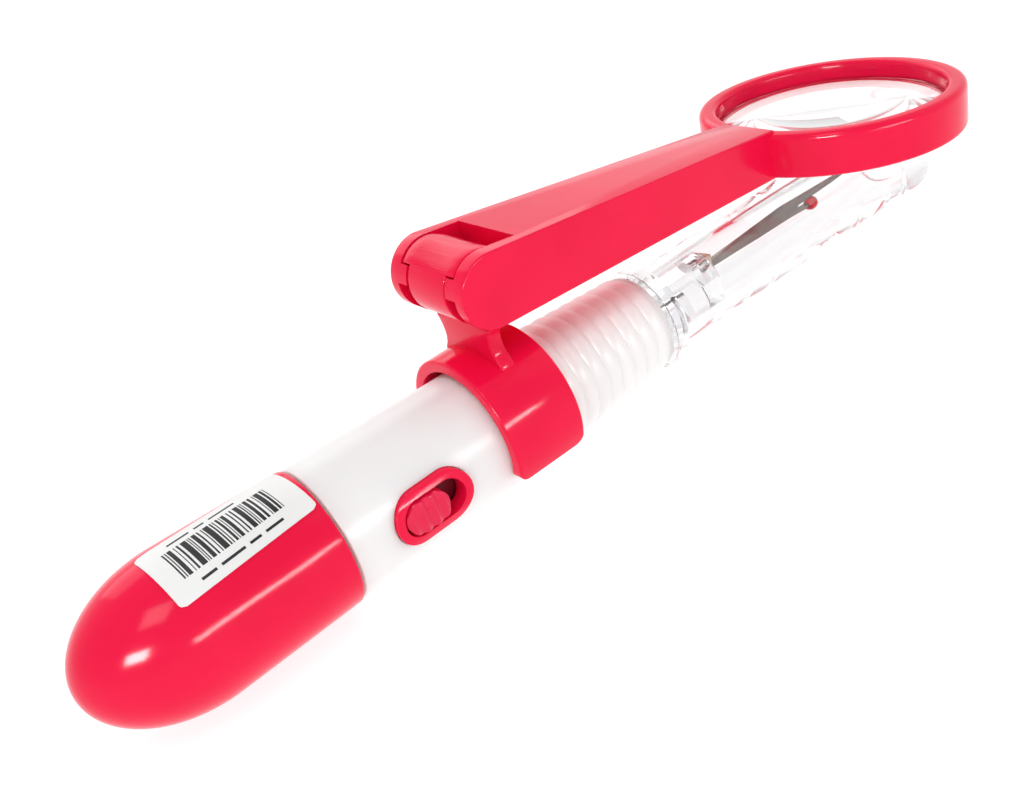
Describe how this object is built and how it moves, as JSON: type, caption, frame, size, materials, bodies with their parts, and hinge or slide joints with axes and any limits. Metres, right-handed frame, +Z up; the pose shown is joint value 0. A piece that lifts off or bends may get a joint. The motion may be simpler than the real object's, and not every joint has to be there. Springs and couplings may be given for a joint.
{
  "type": "lighted seam ripper with magnifier",
  "caption": "Pen-shaped seam ripper with a lamp, a clear cap over the forked blade and a round magnifier on an arm that folds over it from a clip.",
  "frame": {"origin": "on the surface it lies on, under the middle of its length and width, with the magnifier folded over the cap", "axes": "+X along the pen from the tail cap to the ripper's tip, +Z up to the magnifier, +Y to the side away from the switch"},
  "size_m": [0.1362, 0.0348, 0.0314],
  "materials": {
    "translucent_white": "satin, slightly see-through",
    "clear_plastic": "clear, polished",
    "red_plastic": "glossy",
    "dark_red_plastic": "glossy",
    "steel": "bright",
    "brass": "plain",
    "green_board": "matt",
    "label": "paper"
  },
  "bodies": {
    "pen": {"barrel_tube": "translucent_white", "ribbed_grip": "translucent_white", "clear_nose": "clear_plastic", "blade_clamp": "brass", "ripper_blade": "steel", "ripper_ball": "dark_red_plastic", "lamp": "clear_plastic", "lamp_lead_left": "steel", "lamp_lead_right": "steel", "lamp_board": "green_board", "lamp_strip": "brass", "return_strip": "brass", "front_contact": "brass", "cell_1": "steel", "cell_2": "steel", "cell_3": "steel", "switch_bezel": "red_plastic"},
    "clip": {"magnifier_clip": "red_plastic"},
    "magnifier": {"magnifier_arm": "red_plastic", "magnifier_lens": "clear_plastic"},
    "slider": {"switch_knob": "red_plastic", "switch_wiper": "brass"},
    "tail": {"end_cap": "red_plastic", "end_cap_label": "label", "cell_spring": "steel", "spring_plate": "brass"},
    "blade_cap": {"clear_cap": "clear_plastic"}
  },
  "joints": [
    {"name": "clip_swivel", "type": "hinge", "parent": "pen", "child": "clip", "pos_m": [-0.01271, 0, 0.00885], "axis": [1, 0, 0], "continuous": true},
    {"name": "magnifier_fold", "type": "hinge", "parent": "clip", "child": "magnifier", "pos_m": [-0.01238, 0, 0.02703], "axis": [0, -1, 0], "range_deg": [0, 160]},
    {"name": "switch_slide", "type": "slide", "parent": "pen", "child": "slider", "axis": [1, 0, 0], "range_m": [0, 0.0019]},
    {"name": "tail_cap_pull", "type": "slide", "parent": "pen", "child": "tail", "axis": [-1, 0, 0], "range_m": [0, 0.02]},
    {"name": "blade_cap_pull", "type": "slide", "parent": "pen", "child": "blade_cap", "axis": [1, 0, 0], "range_m": [0, 0.045]}
  ]
}
